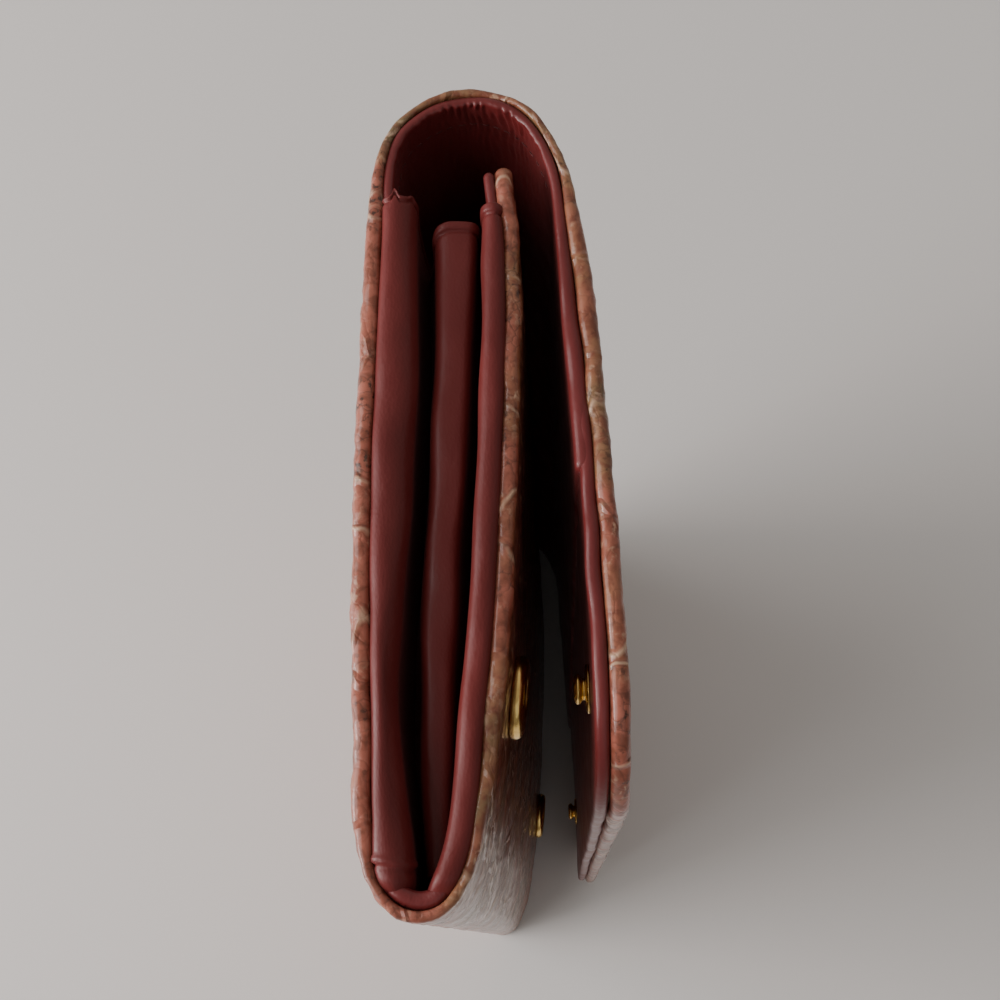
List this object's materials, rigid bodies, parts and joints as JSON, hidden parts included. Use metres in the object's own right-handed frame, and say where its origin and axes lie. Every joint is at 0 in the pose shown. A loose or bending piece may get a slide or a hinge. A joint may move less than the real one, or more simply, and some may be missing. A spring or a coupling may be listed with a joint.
{
  "type": "passport holder wallet",
  "caption": "Long flap wallet for a passport and cards: patent outer leather, burgundy lining, accordion gussets, a divider and press snaps; the flap and the mouth open.",
  "frame": {"origin": "centre of the footprint, on the surface that the wallet's lower short end stands on", "axes": "+Z along the wallet's width, +Y from the bottom fold to the spine arch, +X from the back wall to the flap"},
  "size_m": [0.0302, 0.1, 0.19],
  "materials": {
    "patent_leather": "glossy crackle-embossed patent in coral, tan and cream",
    "lining_leather": "smooth burgundy leather with a soft sheen",
    "gusset_leather": "smooth burgundy leather, folded",
    "pocket_leather": "smooth thin burgundy leather",
    "stiffener_board": "bonded leather board, raw",
    "gold_metal": "polished gold plate",
    "spring_wire": "bright spring wire",
    "rivet_brass": "raw brass"
  },
  "bodies": {
    "back": {"outer_back": "patent_leather", "back_board": "stiffener_board", "lining_back": "lining_leather", "outer_bottom": "patent_leather", "lining_bottom": "lining_leather", "card_pocket_1": "pocket_leather", "card_pocket_2": "pocket_leather", "card_pocket_3": "pocket_leather", "gusset_near": "gusset_leather", "gusset_far": "gusset_leather"},
    "spine_1": {"outer_spine_1": "patent_leather", "lining_spine_1": "lining_leather"},
    "spine_2": {"outer_spine_2": "patent_leather", "lining_spine_2": "lining_leather"},
    "spine_3": {"outer_spine_3": "patent_leather", "lining_spine_3": "lining_leather"},
    "flap": {"outer_flap": "patent_leather", "flap_board": "stiffener_board", "lining_flap": "lining_leather", "lining_flap_upper": "lining_leather", "snap_studs": "gold_metal", "snap_stud_rivets": "rivet_brass"},
    "divider": {"divider_leather_rear": "pocket_leather", "divider_board": "stiffener_board", "divider_leather_front": "pocket_leather"},
    "front_wall": {"outer_front": "patent_leather", "front_board": "stiffener_board", "lining_front": "lining_leather", "snap_sockets": "gold_metal", "snap_springs": "spring_wire", "snap_socket_rivets": "rivet_brass"}
  },
  "joints": [
    {"name": "flap_fold_1", "type": "hinge", "parent": "back", "child": "spine_1", "pos_m": [-0.01229, 0.0422, 0.095], "axis": [0, 0, 1], "range_deg": [-1.4, 45]},
    {"name": "flap_fold_2", "type": "hinge", "parent": "spine_1", "child": "spine_2", "pos_m": [-0.00618, 0.0488, 0.095], "axis": [0, 0, 1], "range_deg": [-1.4, 45]},
    {"name": "flap_fold_3", "type": "hinge", "parent": "spine_2", "child": "spine_3", "pos_m": [0.00299, 0.0492, 0.095], "axis": [0, 0, 1], "range_deg": [-1.4, 45]},
    {"name": "flap_fold_4", "type": "hinge", "parent": "spine_3", "child": "flap", "pos_m": [0.0094, 0.0422, 0.095], "axis": [0, 0, 1], "range_deg": [-1.4, 45]},
    {"name": "divider_fold", "type": "hinge", "parent": "back", "child": "divider", "pos_m": [-0.0072, -0.046, 0.095], "axis": [0, 0, 1], "range_deg": [-6, 0.19], "deforming": ["gusset_near", "gusset_far"]},
    {"name": "front_fold", "type": "hinge", "parent": "divider", "child": "front_wall", "pos_m": [-0.0028, -0.0466, 0.095], "axis": [0, 0, 1], "range_deg": [-6, 0.19], "deforming": ["gusset_near", "gusset_far"]}
  ],
  "couplings": [
    {"joint": "flap_fold_2", "follows": "flap_fold_1", "ratio": 1},
    {"joint": "flap_fold_3", "follows": "flap_fold_1", "ratio": 1},
    {"joint": "flap_fold_4", "follows": "flap_fold_1", "ratio": 1},
    {"joint": "divider_fold", "follows": "flap_fold_1", "ratio": -0.13333},
    {"joint": "front_fold", "follows": "flap_fold_1", "ratio": -0.13333}
  ]
}
